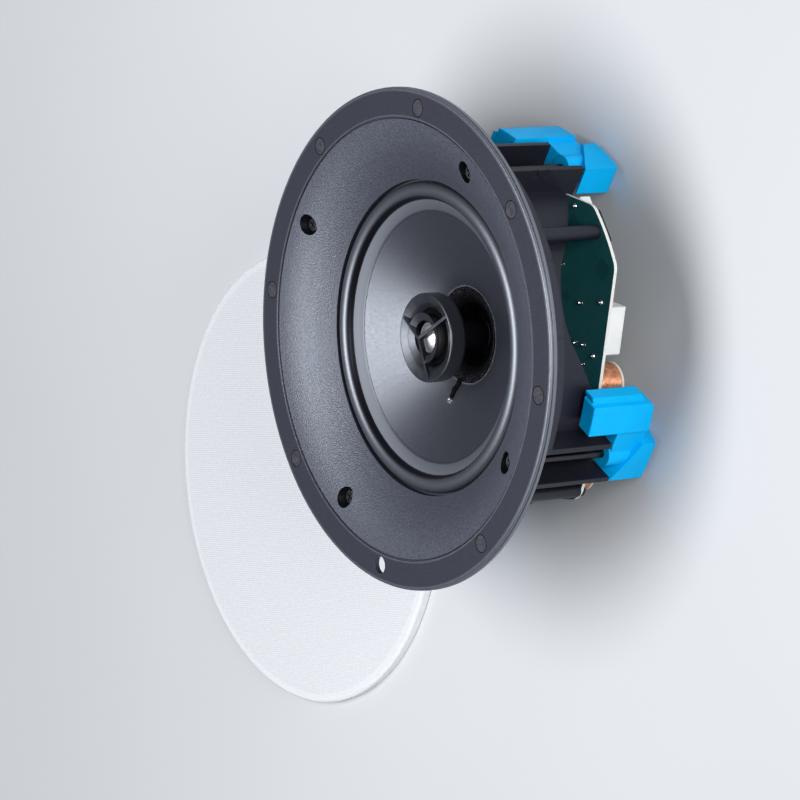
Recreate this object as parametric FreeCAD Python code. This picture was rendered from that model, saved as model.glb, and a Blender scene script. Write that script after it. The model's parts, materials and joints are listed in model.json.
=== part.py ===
import FreeCAD, Part
import math
import os

# Ceiling speaker with a magnetic grille. Millimetres.
# The origin is the centre of the flange's rear seat, and +Z is the way the front faces.
# Depths are counted from the flange's front plane, negative towards the ceiling void.

FLANGE_FRONT = 3.5          # flange front above its rear seat
FLANGE_R = 116.0
FLANGE_W = 15.0             # flange outside the housing wall
RIM_W = 2.7                 # rim that seats on the ceiling
PLATE_T = 2.5               # flange thickness inside that rim
SEAT_R = FLANGE_R - RIM_W
WALL_R = FLANGE_R - FLANGE_W    # collar that passes through the ceiling cut-out
WALL_T = 2.4
COLLAR_N = -11.5            # end of that collar, behind which the skirt has draft
SKIRT_N = -19.6             # end of the skirt
DRAFT = (0.3, 0.7)          # how far the skirt and the channel walls lie inside the collar, at each end
BAFFLE_R = WALL_R + 0.5
BAFFLE_GROOVE = (0.9, 1.3)  # width and depth of the groove between flange and baffle
DRUM_R = WALL_R - 12.7      # inner housing wall that the channels stand on

MAGNET_RING_R = FLANGE_R - 8.1
MAGNET_FIRST = 31.2
MAGNET_COUNT = 8
OPEN_HOLE = 5               # the place in the ring that is an open hole
MAGNET_R = 4.0
MAGNET_T = 2.0
OPEN_HOLE_R = 4.2

CLAMP_ANGLES = (53.0, 143.0, 233.0, 323.0)
HUB_R = WALL_R - 8.3        # clamp screw axes
DRIVER_HOLE_R = 5.0
SCREW_R = 2.0
SCREW_SEAT_N = -8.0
CHANNEL_W = 8.5             # half width of the channel that guides a clamp
CHANNEL_T = 2.5
CHANNEL_BACK_R = HUB_R - CHANNEL_W - 2.2
NEAR_WALL_N = -53.6         # end of the channel wall beside the stowed pad
FAR_WALL_N = -60.3          # end of the other channel wall
FLOOR_N = FAR_WALL_N + 1.8
SLOT_N = -12.0

CLAMP_OUT_R = WALL_R - 0.8
PAD_IN_R = CLAMP_OUT_R - 8.2
PAD_NEAR = 15.8
PAD_FAR = 32.4
PAD_LIP = 3.0               # set-back lip at the pad's far end
PAD_N = (-73.0, -39.0)
ARM_N = (-80.0, -57.0)
HUB_N = (-82.4, -60.8)
HUB_SIDE = 11.0
BARREL_R = 6.0
BARREL_N = -56.6

POST_R = 3.3
POST_N = -54.0
DRUM_N = POST_N + 0.5       # end of the housing wall, clear of the board
WEB_N = (-36.0, -5.0)       # web between a post and the housing wall
POSTS = ((WALL_R - 7.0, 28.0), (WALL_R - 8.1, -51.4), (WALL_R - 7.0, 118.0), (WALL_R - 7.0, 208.0))

ROLL_R = WALL_R - 32.7      # crest of the surround
ROLL_HALF = 4.2
RUBBER_T = 0.8
THROAT_R = ROLL_R + 5.1     # baffle opening round the woofer
LAND_R = THROAT_R + 7.1     # outer edge of the land that carries the woofer
LAND_N = -17.5
BASKET_R = LAND_R - 1.7
BASKET_N = -19.0
WOOFER_SCREW_RING = THROAT_R + 2.2
WOOFER_SCREW_ANGLES = (5.0, 65.0, 125.0, 185.0, 245.0, 305.0)
CONE_R = ROLL_R - 4.3
LANDING_R = CONE_R - 5.5
FELT_R = 22.7
NECK_R = 13.35
CONE_T = 1.0
LANDING_N = -21.0
NECK_N = -43.95335
CONE_SLOPE = (LANDING_N - NECK_N) / (LANDING_R - NECK_R)

MOTOR_MAGNET_R = 44.0
MOTOR_PLATE_R = MOTOR_MAGNET_R - 2.0
SPIDER_R = MOTOR_MAGNET_R - 0.2
TOP_PLATE_N = (-55.8, -51.8)
MOTOR_MAGNET_N = (-65.8, -55.8)
BACK_PLATE_N = (-69.3, -65.8)
POLE_R = 12.4
POLE_N = -51.5

ARCH_N = -29.2              # top of the arches in the housing wall
ARCH_SHOULDER_N = -33.0     # where an arch's rounded top meets its straight sides
ARCH_SHOULDER = 0.2         # half widths there and at the foot, as shares of the wall's radius
ARCH_HALF = 0.58

BOARD_R = WALL_R - 2.2
BOARD_CORNER = 8.0
BOARD_T = 1.6
BOARD_HOLE_R = MOTOR_MAGNET_R + 3.5
BOARD_CHORDS = ((-17.0, 16.3), (73.0, 21.3), (163.0, 16.3), (253.0, 16.3), (270.0, 21.8), (-30.0, 9.8))
BOARD_REAR_N = POST_N - BOARD_T

POD_R = 20.8
POD_N = (-25.0, -15.0)
DOME_R = 9.8
DOME_N = (-20.5, -15.0)     # rim and crown
DOME_THROAT_R = 13.3
GUARD_ARMS = (29.0, 149.0, 269.0)
GUARD_TIP = (19.5, -15.2)   # outer end of an arm's front edge
GUARD_TOP_N = -11.0         # where the three front edges meet
GUARD_RING = (8.1, 11.8)
GUARD_ARM_W = 1.5

GRILLE_R = 117.5
GRILLE_DEPTH = 5.0
GRILLE_T = 0.9
GRILLE_SIDE = 199.5         # direction in which the grille lies beside the speaker
GRILLE_AWAY = FLANGE_R + GRILLE_R - 13.5

V = FreeCAD.Vector
AXIS = V(0, 0, 1)
ORIGIN = V(0, 0, 0)


def z(n):
    """Height of a depth counted from the flange's front plane."""
    return n + FLANGE_FRONT


def polar(radius, angle):
    a = math.radians(angle)
    return radius * math.cos(a), radius * math.sin(a)


def turned(*runs):
    """Solid of revolution. A list is a row of straight lines, a tuple an arc of three points or a curve."""
    edges = []
    for run in runs:
        points = [V(r, 0, z(n)) for r, n in run]
        if isinstance(run, tuple) and len(run) == 3:
            edges.append(Part.Arc(*points).toShape())
        elif isinstance(run, tuple):
            curve = Part.BSplineCurve()
            curve.interpolate(points)
            edges.append(curve.toShape())
        else:
            edges += [Part.makeLine(a, b) for a, b in zip(points, points[1:])]
    return Part.Face(Part.Wire(edges)).revolve(ORIGIN, AXIS, 360)


def arc(centre, radius, start, end):
    """Start, middle and end of an arc in the turning plane."""
    offsets = [polar(radius, a) for a in (start, (start + end) / 2, end)]
    return tuple((centre[0] + dr, centre[1] + dn) for dr, dn in offsets)


def disc(radius, n_low, n_high, at=(0.0, 0.0)):
    return Part.makeCylinder(radius, n_high - n_low, V(at[0], at[1], z(n_low)))


def ring(r_in, r_out, n_low, n_high, at=(0.0, 0.0)):
    return disc(r_out, n_low, n_high, at).cut(disc(r_in, n_low - 1, n_high + 1, at))


def block(x, y, n):
    """Box from three (low, high) pairs."""
    return Part.makeBox(x[1] - x[0], y[1] - y[0], n[1] - n[0], V(x[0], y[0], z(n[0])))


def prism(points, direction):
    """Closed polygon of points, extruded."""
    corners = [V(*p) for p in points]
    return Part.Face(Part.makePolygon(corners + corners[:1])).extrude(V(*direction))


def spun(shape, angle):
    copy = shape.copy()
    copy.rotate(ORIGIN, AXIS, angle)
    return copy


def fused(shapes):
    first, rest = shapes[0], shapes[1:]
    return first.multiFuse(rest).removeSplitter() if rest else first


def cone_front(r):
    """Depth of the cone's front face at a radius."""
    return LANDING_N - (LANDING_R - r) * CONE_SLOPE


def screw(at, n_seat, n_tip, shank_r, head_r, head_h, up):
    """Pan-head screw with a cross recess. up is 1 if the head faces the front, -1 if it faces the rear."""
    low, high = sorted((n_seat, n_tip))
    shank = disc(shank_r, low, high, at)
    brim = n_seat + up * head_h * 0.45
    head_low, head_high = sorted((n_seat, brim))
    head = disc(head_r, head_low, head_high, at)
    crown = Part.makeCone(head_r, head_r * 0.7, head_h * 0.55, V(at[0], at[1], z(brim)), V(0, 0, up))
    head = head.fuse(crown)
    arm, width = head_r * 0.55, head_r * 0.11
    slot_low, slot_high = sorted((n_seat + up * head_h * 0.45, n_seat + up * (head_h + 1)))
    cross = [block((at[0] - a, at[0] + a), (at[1] - b, at[1] + b), (slot_low, slot_high))
             for a, b in ((arm, width), (width, arm))]
    return shank.fuse(head).removeSplitter().cut(cross[0].fuse(cross[1]))


def magnet_places():
    for i in range(MAGNET_COUNT):
        yield i, polar(MAGNET_RING_R, MAGNET_FIRST + i * 360 / MAGNET_COUNT)


def woofer_screw_places():
    return [polar(WOOFER_SCREW_RING, a) for a in WOOFER_SCREW_ANGLES]


def post_places():
    return [polar(*p) for p in POSTS]


BAFFLE_CURVE = ((0.0, -0.5), (0.16, -1.3), (0.313, -2.5), (0.48, -4.4), (0.623, -6.7), (0.765, -9.4),
                (0.89, -12.3), (1.0, -15.0))    # share of the way from the flange to the throat, and depth
BAFFLE_FRONT = tuple((BAFFLE_R - t * (BAFFLE_R - THROAT_R), n) for t, n in BAFFLE_CURVE)
BAFFLE_T = 2.5


def make_shell():
    """Flange, flared baffle, collar with its skirt and the housing wall, turned in one."""
    skirt_in, drum_in = WALL_R - WALL_T, DRUM_R - WALL_T
    rim = FLANGE_R - 0.15
    gap, depth = BAFFLE_GROOVE
    rear = tuple((r, n - BAFFLE_T) for r, n in reversed(BAFFLE_FRONT[2:5]))
    front = turned(
        [(FLANGE_R, -FLANGE_FRONT), (FLANGE_R, -1.75), (FLANGE_R - 0.55, -1.75), (FLANGE_R - 0.55, -1.3),
         (rim, -1.3), (rim, -0.95)],
        arc((rim - 0.95, -0.95), 0.95, 0, 90),
        [(rim - 0.95, 0), (BAFFLE_R + gap, 0), (BAFFLE_R + gap, -depth),
         (BAFFLE_R + gap / 2, -depth), (BAFFLE_R, -0.5)],
        BAFFLE_FRONT,
        [(THROAT_R, -15.0), (THROAT_R, LAND_N), (LAND_R, LAND_N), (LAND_R, -12.0)],
        ((LAND_R, -12.0),) + rear + ((skirt_in, -3.6),),
        [(skirt_in, -3.6), (skirt_in, SKIRT_N), (WALL_R - DRAFT[0] - 0.1, SKIRT_N),
         (WALL_R - DRAFT[0], COLLAR_N), (WALL_R, COLLAR_N), (WALL_R, -PLATE_T), (SEAT_R, -PLATE_T),
         (SEAT_R, -FLANGE_FRONT), (FLANGE_R, -FLANGE_FRONT)],
    )
    drum = ring(drum_in, DRUM_R, DRUM_N, BAFFLE_FRONT[3][1] - 0.5)
    return front, drum


def wall_space():
    """All that lies inside the wall's drafted outer face."""
    return turned([(0, FAR_WALL_N), (WALL_R - DRAFT[1], FAR_WALL_N), (WALL_R - DRAFT[0], COLLAR_N),
                   (WALL_R - DRAFT[0], -2.6), (0, -2.6), (0, FAR_WALL_N)])


def front_space():
    """The room in front of the baffle, which nothing behind it may enter."""
    return turned([(0, 2), (BAFFLE_R, 2), (BAFFLE_R, -0.5)], BAFFLE_FRONT,
                  [(THROAT_R, -15.0), (THROAT_R, LAND_N), (0, LAND_N), (0, 2)])


def arch_cutter():
    """Rounded arch in the housing wall between two clamp channels, for the arch centred on +X."""
    half, shoulder, foot = DRUM_R * ARCH_HALF, DRUM_R * ARCH_SHOULDER, DRUM_N - 2
    corners = [V(DRUM_R * 0.6, y, z(n)) for y, n in (
        (-half, DRUM_N), (-shoulder, ARCH_SHOULDER_N), (0.0, ARCH_N), (shoulder, ARCH_SHOULDER_N),
        (half, DRUM_N), (half, foot), (-half, foot))]
    edges = [Part.makeLine(corners[0], corners[1]), Part.Arc(*corners[1:4]).toShape()]
    edges += [Part.makeLine(a, b) for a, b in zip(corners[3:], corners[4:] + corners[:1])]
    solid = Part.Face(Part.Wire(edges)).extrude(V(DRUM_R * 0.6, 0, 0))
    return solid.common(ring(DRUM_R - WALL_T - 1, DRUM_R + 1, foot, ARCH_N + 1))


def make_channel():
    """Channel for one clamp with its screw seat, for a screw axis on +X."""
    half = CHANNEL_W + CHANNEL_T
    back = CHANNEL_BACK_R
    floor = prism([(back, -half, z(-6.6)), (back, half, z(-6.6)), (back, half, z(NEAR_WALL_N)),
                   (back, 4, z(NEAR_WALL_N)), (back, -2, z(FLOOR_N)), (back, -half, z(FLOOR_N))], (2.2, 0, 0))
    near = block((back, WALL_R), (CHANNEL_W, half), (NEAR_WALL_N, -4.0))
    far = prism([(back, -half, z(-6.0)), (WALL_R, -half, z(-4.0)), (WALL_R, -half, z(FAR_WALL_N)),
                 (back, -half, z(FLOOR_N))], (0, CHANNEL_T, 0))
    seat = block((back, WALL_R), (-half, half), (SCREW_SEAT_N - 3, SCREW_SEAT_N))
    boss = disc(DRIVER_HOLE_R + 2, SCREW_SEAT_N - 3, -3.0, (HUB_R, 0))
    return fused([floor, near, far, seat, boss]).common(wall_space())


def make_main_frame():
    front, drum = make_shell()
    for angle in CLAMP_ANGLES:
        drum = drum.cut(spun(arch_cutter(), angle - 45))
        slot = block((CHANNEL_BACK_R + 1, WALL_R + 3), (-CHANNEL_W, CHANNEL_W), (-80, SLOT_N))
        front, drum = front.cut(spun(slot, angle)), drum.cut(spun(slot, angle))
    solids = [front, drum] + [spun(make_channel(), a) for a in CLAMP_ANGLES]
    for radius, angle in POSTS:
        post = disc(POST_R, POST_N, -5.4, (radius, 0))
        web = block((DRUM_R - 1, radius), (-1.2, 1.2), WEB_N)
        solids.append(spun(post.fuse(web), angle))
    room = front_space()
    frame = fused(solids[:1] + [s.cut(room) for s in solids[1:]])
    holes = []
    for angle in CLAMP_ANGLES:
        driver = disc(DRIVER_HOLE_R, SCREW_SEAT_N, 1, (HUB_R, 0))
        shank = disc(SCREW_R + 0.6, -20, SCREW_SEAT_N + 1, (HUB_R, 0))
        holes += [spun(driver, angle), spun(shank, angle)]
    for i, at in magnet_places():
        open_hole = i == OPEN_HOLE
        holes.append(disc(OPEN_HOLE_R, -6, 1, at) if open_hole else disc(MAGNET_R + 0.05, -MAGNET_T, 1, at))
    holes += [disc(1.45, LAND_N - 1, -14.3, at) for at in woofer_screw_places()]
    holes += [disc(1.35, POST_N - 1, POST_N + 8, at) for at in post_places()]
    return frame.cut(holes)


def make_grille_magnets():
    return Part.Compound([disc(MAGNET_R, -MAGNET_T, -0.05, at)
                          for i, at in magnet_places() if i != OPEN_HOLE])


def side_on(points, inner, outer):
    """Block with an outline in the tangent and depth plane, between two distances from the screw axis."""
    return prism([(HUB_R + inner, t, z(n)) for t, n in points], (outer - inner, 0, 0))


def make_hub():
    """Hub behind the channel's end, with a slanted rear and one large rounded corner."""
    rear, front = HUB_N
    hub = side_on([(-HUB_SIDE, front), (3 - HUB_SIDE, front - 1.4), (8.8, PAD_N[0] + 0.8), (9.4, rear),
                   (-HUB_SIDE, rear)], -6.8, 8.0)
    corner = [e for e in hub.Edges if e.BoundBox.ZMax < z(rear) + 0.01 and e.BoundBox.YMax < 0.01 - HUB_SIDE]
    hub = hub.makeFillet(5.5, corner)
    slant = prism([(HUB_R - 3, -30, z(rear)), (HUB_R + 9, -30, z(rear + 3.4)), (HUB_R + 9, -30, z(rear - 1)),
                   (HUB_R - 3, -30, z(rear - 1))], (0, 60, 0))
    return hub.cut(slant)


def make_clamp():
    """Clamp in its stowed place, for a screw axis on +X: hub, dog-leg arm and ribbed pad."""
    barrel = disc(BARREL_R, HUB_N[1] - 8, BARREL_N, (HUB_R, 0))
    arm = side_on([(2.0, ARM_N[1] - 1), (7.5, ARM_N[1]), (PAD_NEAR + 2, ARM_N[1]), (PAD_NEAR + 6, PAD_N[0]),
                   (11.6, PAD_N[0] - 0.5), (2.0, ARM_N[0])], -5.0, 4.6)
    front, rear, lip = PAD_N[1], PAD_N[0], PAD_FAR - PAD_LIP
    pad = side_on([(PAD_NEAR, front), (lip, front), (lip, rear + 1.5), (lip - 1.5, rear),
                   (PAD_NEAR, rear)], -20, 10)
    pad = pad.common(ring(PAD_IN_R, CLAMP_OUT_R, rear, front))
    pad_lip = side_on([(PAD_NEAR, front), (PAD_FAR, front), (PAD_FAR, rear + 6), (lip, rear + 4),
                       (PAD_NEAR, rear + 4)], -20, 10)
    pad_lip = pad_lip.common(ring(PAD_IN_R, CLAMP_OUT_R - 2.4, rear, front))
    ribs = []
    for i in range(6):
        t = PAD_NEAR + 2.0 + i * 2.5
        ribs.append(side_on([(t - 0.8, front + 0.1), (t + 0.8, front + 0.1), (t, front - 0.9)], -10, 10))
    body = fused([make_hub(), barrel, arm, pad, pad_lip]).common(disc(CLAMP_OUT_R, -90, -30))
    return body.cut(ribs + [disc(SCREW_R + 0.05, -90, -50, (HUB_R, 0))])


def make_clamp_screw():
    return screw((HUB_R, 0), SCREW_SEAT_N + 0.1, HUB_N[0] + 2.2, SCREW_R, 4.3, 2.6, 1)


def make_basket():
    """Woofer basket: mounting ring, six ribs round windows, spider ledge and motor floor."""
    rim_in, ledge = CONE_R + 2.5, SPIDER_R + 0.7
    body = turned([
        (BASKET_R, BASKET_N), (rim_in, BASKET_N), (rim_in, -24.0), (ledge + 1.5, -46.5), (ledge, -46.5),
        (ledge, -49.0), (ledge - 6.5, -49.0), (ledge - 6.5, -50.6), (15.0, -50.6), (15.0, TOP_PLATE_N[1]),
        (ledge + 1.3, TOP_PLATE_N[1]), (ledge + 2.7, -47.8), (rim_in + 1.5, -25.0), (rim_in + 1.5, -20.6),
        (BASKET_R, -20.6), (BASKET_R, BASKET_N)])
    window = prism([(ledge - 5, -12, z(-44)), (ledge - 5, 12, z(-44)), (ledge - 5, 18, z(-28)),
                    (ledge - 5, -18, z(-28))], (CONE_R, 0, 0))
    window = window.common(ring(ledge + 3.5, rim_in - 0.5, -44, -28))
    holes = [disc(1.7, -25, -15, at) for at in woofer_screw_places()]
    return body.cut([spun(window, a + 30) for a in WOOFER_SCREW_ANGLES] + holes)


def make_woofer_gasket():
    body = ring(THROAT_R + 0.4, BASKET_R, -18.4, LAND_N)
    return body.cut([disc(1.7, -25, -15, at) for at in woofer_screw_places()])


def make_surround():
    """Rubber half roll with its outer lip and the landing glued to the cone."""
    inner = ROLL_HALF - RUBBER_T
    body = turned(
        [(BASKET_R, BASKET_N), (BASKET_R, -18.4), (ROLL_R + ROLL_HALF, -18.4)],
        arc((ROLL_R, -18.4), ROLL_HALF, 0, 180),
        [(ROLL_R - ROLL_HALF, -18.4), (LANDING_R, -20.9), (LANDING_R + 0.1, -21.5), (ROLL_R - inner, -18.75)],
        arc((ROLL_R, -18.75), inner, 180, 0),
        [(ROLL_R + inner, -18.75), (ROLL_R + inner, BASKET_N), (BASKET_R, BASKET_N)],
    )
    return body.cut([disc(1.7, -25, -15, at) for at in woofer_screw_places()])


def make_woofer_screws():
    return Part.Compound([screw(at, -20.6, -14.6, 1.4, 3.0, 1.8, -1) for at in woofer_screw_places()])


def make_cone():
    return turned([
        (CONE_R, -19.25), (LANDING_R + 0.1, -21.6), (LANDING_R - 0.2, cone_front(LANDING_R - 0.2)),
        (NECK_R, cone_front(NECK_R)), (NECK_R, cone_front(NECK_R) - CONE_T),
        (LANDING_R - 0.2, cone_front(LANDING_R - 0.2) - 1.7), (CONE_R, -20.4), (CONE_R, -19.25)])


def make_felt():
    outer, inner = FELT_R, NECK_R + 1.5
    return turned([
        (outer, cone_front(outer) + 0.03), (outer - 0.5, cone_front(outer) + 0.9),
        (inner + 0.3, cone_front(inner) + 1.2), (inner, cone_front(inner) + 0.03),
        (outer, cone_front(outer) + 0.03)])


LEAD_ANGLES = (-109.0, -169.0)
EYELET_R = 32.0


def on_cone(shape, radius, angle, lift):
    """Places a shape made round +Z on the cone's front face, square to it."""
    tilt = math.degrees(math.atan(CONE_SLOPE))
    placed = shape.copy()
    placed.rotate(ORIGIN, V(0, 1, 0), -tilt)
    placed.translate(V(radius - lift * math.sin(math.radians(tilt)), 0,
                       z(cone_front(radius)) + lift * math.cos(math.radians(tilt))))
    return spun(placed, angle)


def make_eyelets():
    rivet = Part.makeCylinder(1.5, 0.7).cut(Part.makeCylinder(0.6, 0.7, V(0, 0, 0.35)))
    return Part.Compound([on_cone(rivet, EYELET_R, a, 0.05) for a in LEAD_ANGLES])


def make_cone_leads():
    length = 7.6
    lead = Part.makeCylinder(0.7, length, V(-length, 0, 0.72), V(1, 0, 0))
    return Part.Compound([on_cone(lead, EYELET_R - 1.6, a, 0.03) for a in LEAD_ANGLES])


def make_spider():
    """Corrugated suspension disc, higher at the voice coil than at its ledge."""
    front = [(13.3, -45.3), (16.0, -45.3), (19.0, -46.6), (22.0, -45.6), (25.0, -47.2), (28.0, -46.2),
             (31.0, -47.8), (34.0, -46.8), (37.0, -48.45), (SPIDER_R, -48.45)]
    rear = [(r, n - 0.5) for r, n in reversed(front)]
    return turned(front + rear + front[:1])


def make_pole_plate():
    low, high = BACK_PLATE_N
    return turned([(0, low), (MOTOR_PLATE_R, low), (MOTOR_PLATE_R, high), (POLE_R, high), (POLE_R, POLE_N),
                   (0, POLE_N), (0, low)])


def make_tweeter_post():
    rear = POD_N[0]
    return turned([(0, POLE_N), (8.6, POLE_N), (8.6, -49.5), (6.6, -47.0), (6.6, rear - 2.2), (9.5, rear),
                   (0, rear), (0, POLE_N)])


def make_pod():
    rear, front = POD_N
    return turned(
        [(0, rear), (POD_R - 3.2, rear)],
        arc((POD_R - 3.2, rear + 3.2), 3.2, -90, 0),
        [(POD_R, rear + 3.2), (POD_R, front - 1.0)],
        arc((POD_R - 0.9, front - 1.0), 0.9, 0, 90),
        [(POD_R - 0.9, front - 0.1), (16.2, -16.6)],
        ((16.2, -16.6), (14.9, -17.6), (13.9, -18.7), (DOME_THROAT_R, -20.0)),
        [(DOME_THROAT_R, -20.0), (DOME_THROAT_R, -23.4), (0, -23.4), (0, rear)],
    )


def make_dome():
    """Thin spherical cap."""
    rim, crown = DOME_N
    rise = crown - rim
    ball = (DOME_R ** 2 + rise ** 2) / (2 * rise)
    radii = [DOME_R * share for share in (0.0, 0.3, 0.6, 0.82, 1.0)]
    front = tuple((r, crown - ball + math.sqrt(ball ** 2 - r ** 2)) for r in radii)
    rear = tuple((max(r - 0.35, 0.0), n - 0.45) for r, n in reversed(front))
    return turned(front, [front[-1], (DOME_R, rim - 0.45), rear[0]], rear, [rear[-1], front[0]])


def make_tweeter_surround():
    """Half roll between the dome's rim and the pod's throat."""
    inner, outer = DOME_R + 0.05, DOME_THROAT_R - 0.05
    foot, top = DOME_N[0] - 0.4, DOME_N[0] + 0.4
    middle, roll, hollow = (inner + outer) / 2, 0.37 * (outer - inner), 0.25 * (outer - inner)
    return turned(
        [(inner, foot), (inner, top), (middle - roll, top)],
        arc((middle, top), roll, 180, 0),
        [(middle + roll, top), (outer, top), (outer, foot), (middle + hollow, foot), (middle + hollow, top)],
        arc((middle, top), hollow, 0, 180),
        [(middle - hollow, top), (middle - hollow, foot), (inner, foot)],
    )


def guard_front(r):
    """Depth of the guard's front edges at a radius."""
    return GUARD_TOP_N + (GUARD_TIP[1] - GUARD_TOP_N) * r / GUARD_TIP[0]


def make_guard():
    """Dished ring in front of the dome on three blades that stand on the pod's bevel."""
    inner, outer = GUARD_RING
    brim = guard_front(outer)
    pieces = [turned([(inner, brim - 1.4), (outer, brim), (outer, brim - 0.9), (inner + 0.3, brim - 2.1),
                      (inner, brim - 1.4)])]
    for angle in GUARD_ARMS:
        edge = [(0.0, guard_front(0)), (GUARD_TIP[0], GUARD_TIP[1]), (GUARD_TIP[0], GUARD_TIP[1] - 0.06),
                (16.6, -16.4), (outer, brim - 1.9), (inner, brim - 1.6), (0.0, guard_front(0) - 2.6)]
        blade = prism([(r, -GUARD_ARM_W / 2, z(n)) for r, n in edge], (0, GUARD_ARM_W, 0))
        pieces.append(spun(blade, angle))
    return fused(pieces)


def make_board():
    """Round board with a hole for the motor, flats, and notches round the clamp channels."""
    plate = Part.Face(Part.Wire(Part.makeCircle(BOARD_R, V(0, 0, z(BOARD_REAR_N)))))
    flats = [spun(block((BOARD_R - flat, BOARD_R + 40), (-BOARD_R, BOARD_R), (-60, -50)), a)
             for a, flat in BOARD_CHORDS]
    outline = plate.cut(flats).Faces[0].makeOffset2D(-BOARD_CORNER).makeOffset2D(BOARD_CORNER)
    board = outline.extrude(V(0, 0, BOARD_T))
    side = CHANNEL_W + CHANNEL_T + 0.6
    cuts = [disc(BOARD_HOLE_R, -60, -50)]
    cuts += [spun(block((CHANNEL_BACK_R - 0.6, BOARD_R + 40), (-side, side), (-60, -50)), a)
             for a in CLAMP_ANGLES]
    cuts += [disc(1.6, -60, -50, at) for at in post_places()]
    return board.cut(cuts)


def make_board_screws():
    return Part.Compound([screw(at, BOARD_REAR_N, POST_N + 6, 1.3, 3.0, 1.8, -1) for at in post_places()])


def on_board(shape, angle, outward, along):
    """Places a shape that stands on the board's rear face, in a frame turned to an angle."""
    placed = shape.copy()
    placed.translate(V(outward, along, 0))
    return spun(placed, angle)


def standing(size, height):
    """Block on the board's rear, centred on the axis."""
    half = (size[0] / 2, size[1] / 2)
    return block((-half[0], half[0]), (-half[1], half[1]), (BOARD_REAR_N - height, BOARD_REAR_N))


def make_resistor():
    body = standing((9.0, 22.5), 9.5)
    body = body.makeChamfer(0.5, body.Edges)
    return on_board(body, BOARD_CHORDS[0][0], BOARD_R - 22.4, 23.7)


def make_bobbin(radius, height):
    low = BOARD_REAR_N - height
    return fused([disc(radius * 0.5, low, BOARD_REAR_N), disc(radius, low, low + 1.0),
                  disc(radius, BOARD_REAR_N - 1.0, BOARD_REAR_N)])


def make_winding(radius, height):
    return ring(radius * 0.5 + 0.02, radius - 0.3, BOARD_REAR_N - height + 1.05, BOARD_REAR_N - 1.05)


def make_capacitor(radius, length):
    body = Part.makeCylinder(radius, length, V(0, -length / 2, z(BOARD_REAR_N) - radius - 0.1), V(0, 1, 0))
    return body.makeChamfer(1.0, [e for e in body.Edges if e.BoundBox.YLength < 0.01])


def make_terminal_block():
    """Two-way push terminal with wire holes in its rear face and a lever over each."""
    body = standing((11.0, 16.0), 8.5)
    rear = BOARD_REAR_N - 8.5
    for side in (-1, 1):
        wire = disc(1.4, rear - 1, rear + 5, (2.6, side * 4.0))
        body = body.cut(wire)
        lever = prism([(-4.5, side * 4.0 - 2.2, z(rear)), (0.0, side * 4.0 - 2.2, z(rear)),
                       (-1.6, side * 4.0 - 2.2, z(rear - 2.0)), (-4.5, side * 4.0 - 2.2, z(rear - 2.0))],
                      (0, 4.4, 0))
        body = body.fuse(lever)
    return on_board(body.removeSplitter(), POSTS[0][1], BOARD_R - 14.0, 5.3)


def make_plug():
    body = standing((8.0, 6.4), 5.4)
    pocket = block((-2.8, 2.8), (-2.0, 2.0), (BOARD_REAR_N - 6, BOARD_REAR_N - 2.5))
    return on_board(body.cut(pocket), POSTS[0][1], BOARD_R - 12.3, 17.2)


def make_grille():
    """Perforated steel disc with a turned-down rim, taken off and lying face up beside the speaker."""
    foot = HUB_N[0]
    top = foot + GRILLE_DEPTH
    inner = GRILLE_R - GRILLE_T
    dish = turned(
        [(0, top - GRILLE_T), (inner - 1.2, top - GRILLE_T), (inner, top - GRILLE_T - 1.2), (inner, foot),
         (GRILLE_R, foot), (GRILLE_R, top - 1.6)],
        arc((GRILLE_R - 1.6, top - 1.6), 1.6, 0, 90),
        [(GRILLE_R - 1.6, top), (0, top), (0, top - GRILLE_T)],
    )
    dish.translate(V(*polar(GRILLE_AWAY, GRILLE_SIDE), 0))
    return dish


nodes = {
    "main_frame": make_main_frame(),
    "grille_magnets": make_grille_magnets(),
    "grille": make_grille(),
    "woofer_basket": make_basket(),
    "woofer_gasket": make_woofer_gasket(),
    "woofer_screws": make_woofer_screws(),
    "surround": make_surround(),
    "woofer_cone": make_cone(),
    "neck_felt_ring": make_felt(),
    "lead_eyelets": make_eyelets(),
    "cone_leads": make_cone_leads(),
    "voice_coil_former": ring(12.95, 13.2, -58.5, -43.0),
    "voice_coil": ring(13.22, 13.8, -57.8, -49.8),
    "spider": make_spider(),
    "top_plate": ring(14.3, MOTOR_PLATE_R, *TOP_PLATE_N),
    "woofer_magnet": ring(18.0, MOTOR_MAGNET_R, *MOTOR_MAGNET_N),
    "pole_plate": make_pole_plate(),
    "tweeter_post": make_tweeter_post(),
    "tweeter_housing": make_pod(),
    "tweeter_guard": make_guard(),
    "tweeter_dome": make_dome(),
    "tweeter_surround": make_tweeter_surround(),
    "tweeter_motor": disc(12.6, -23.4, -21.3),
    "crossover_board": make_board(),
    "board_screws": make_board_screws(),
    "cement_resistor": make_resistor(),
    "inductor_1_bobbin": on_board(make_bobbin(9.5, 16.0), BOARD_CHORDS[0][0], BOARD_R - 29.3, -4.3),
    "inductor_1_coil": on_board(make_winding(9.5, 16.0), BOARD_CHORDS[0][0], BOARD_R - 29.3, -4.3),
    "inductor_2_bobbin": on_board(make_bobbin(8.5, 10.5), -53.4, BOARD_R - 17.8, 0.0),
    "inductor_2_coil": on_board(make_winding(8.5, 10.5), -53.4, BOARD_R - 17.8, 0.0),
    "capacitor_1": on_board(make_capacitor(6.5, 26.0), 163.0, BOARD_R - 32.8, 0.0),
    "capacitor_2": on_board(make_capacitor(5.0, 22.0), 208.0, BOARD_R - 26.8, 0.0),
    "terminal_block": make_terminal_block(),
    "link_plug": make_plug(),
}
for i, clamp_angle in enumerate(CLAMP_ANGLES, 1):
    nodes[f"clamp_{i}"] = spun(make_clamp(), clamp_angle)
    nodes[f"clamp_screw_{i}"] = spun(make_clamp_screw(), clamp_angle)

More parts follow.
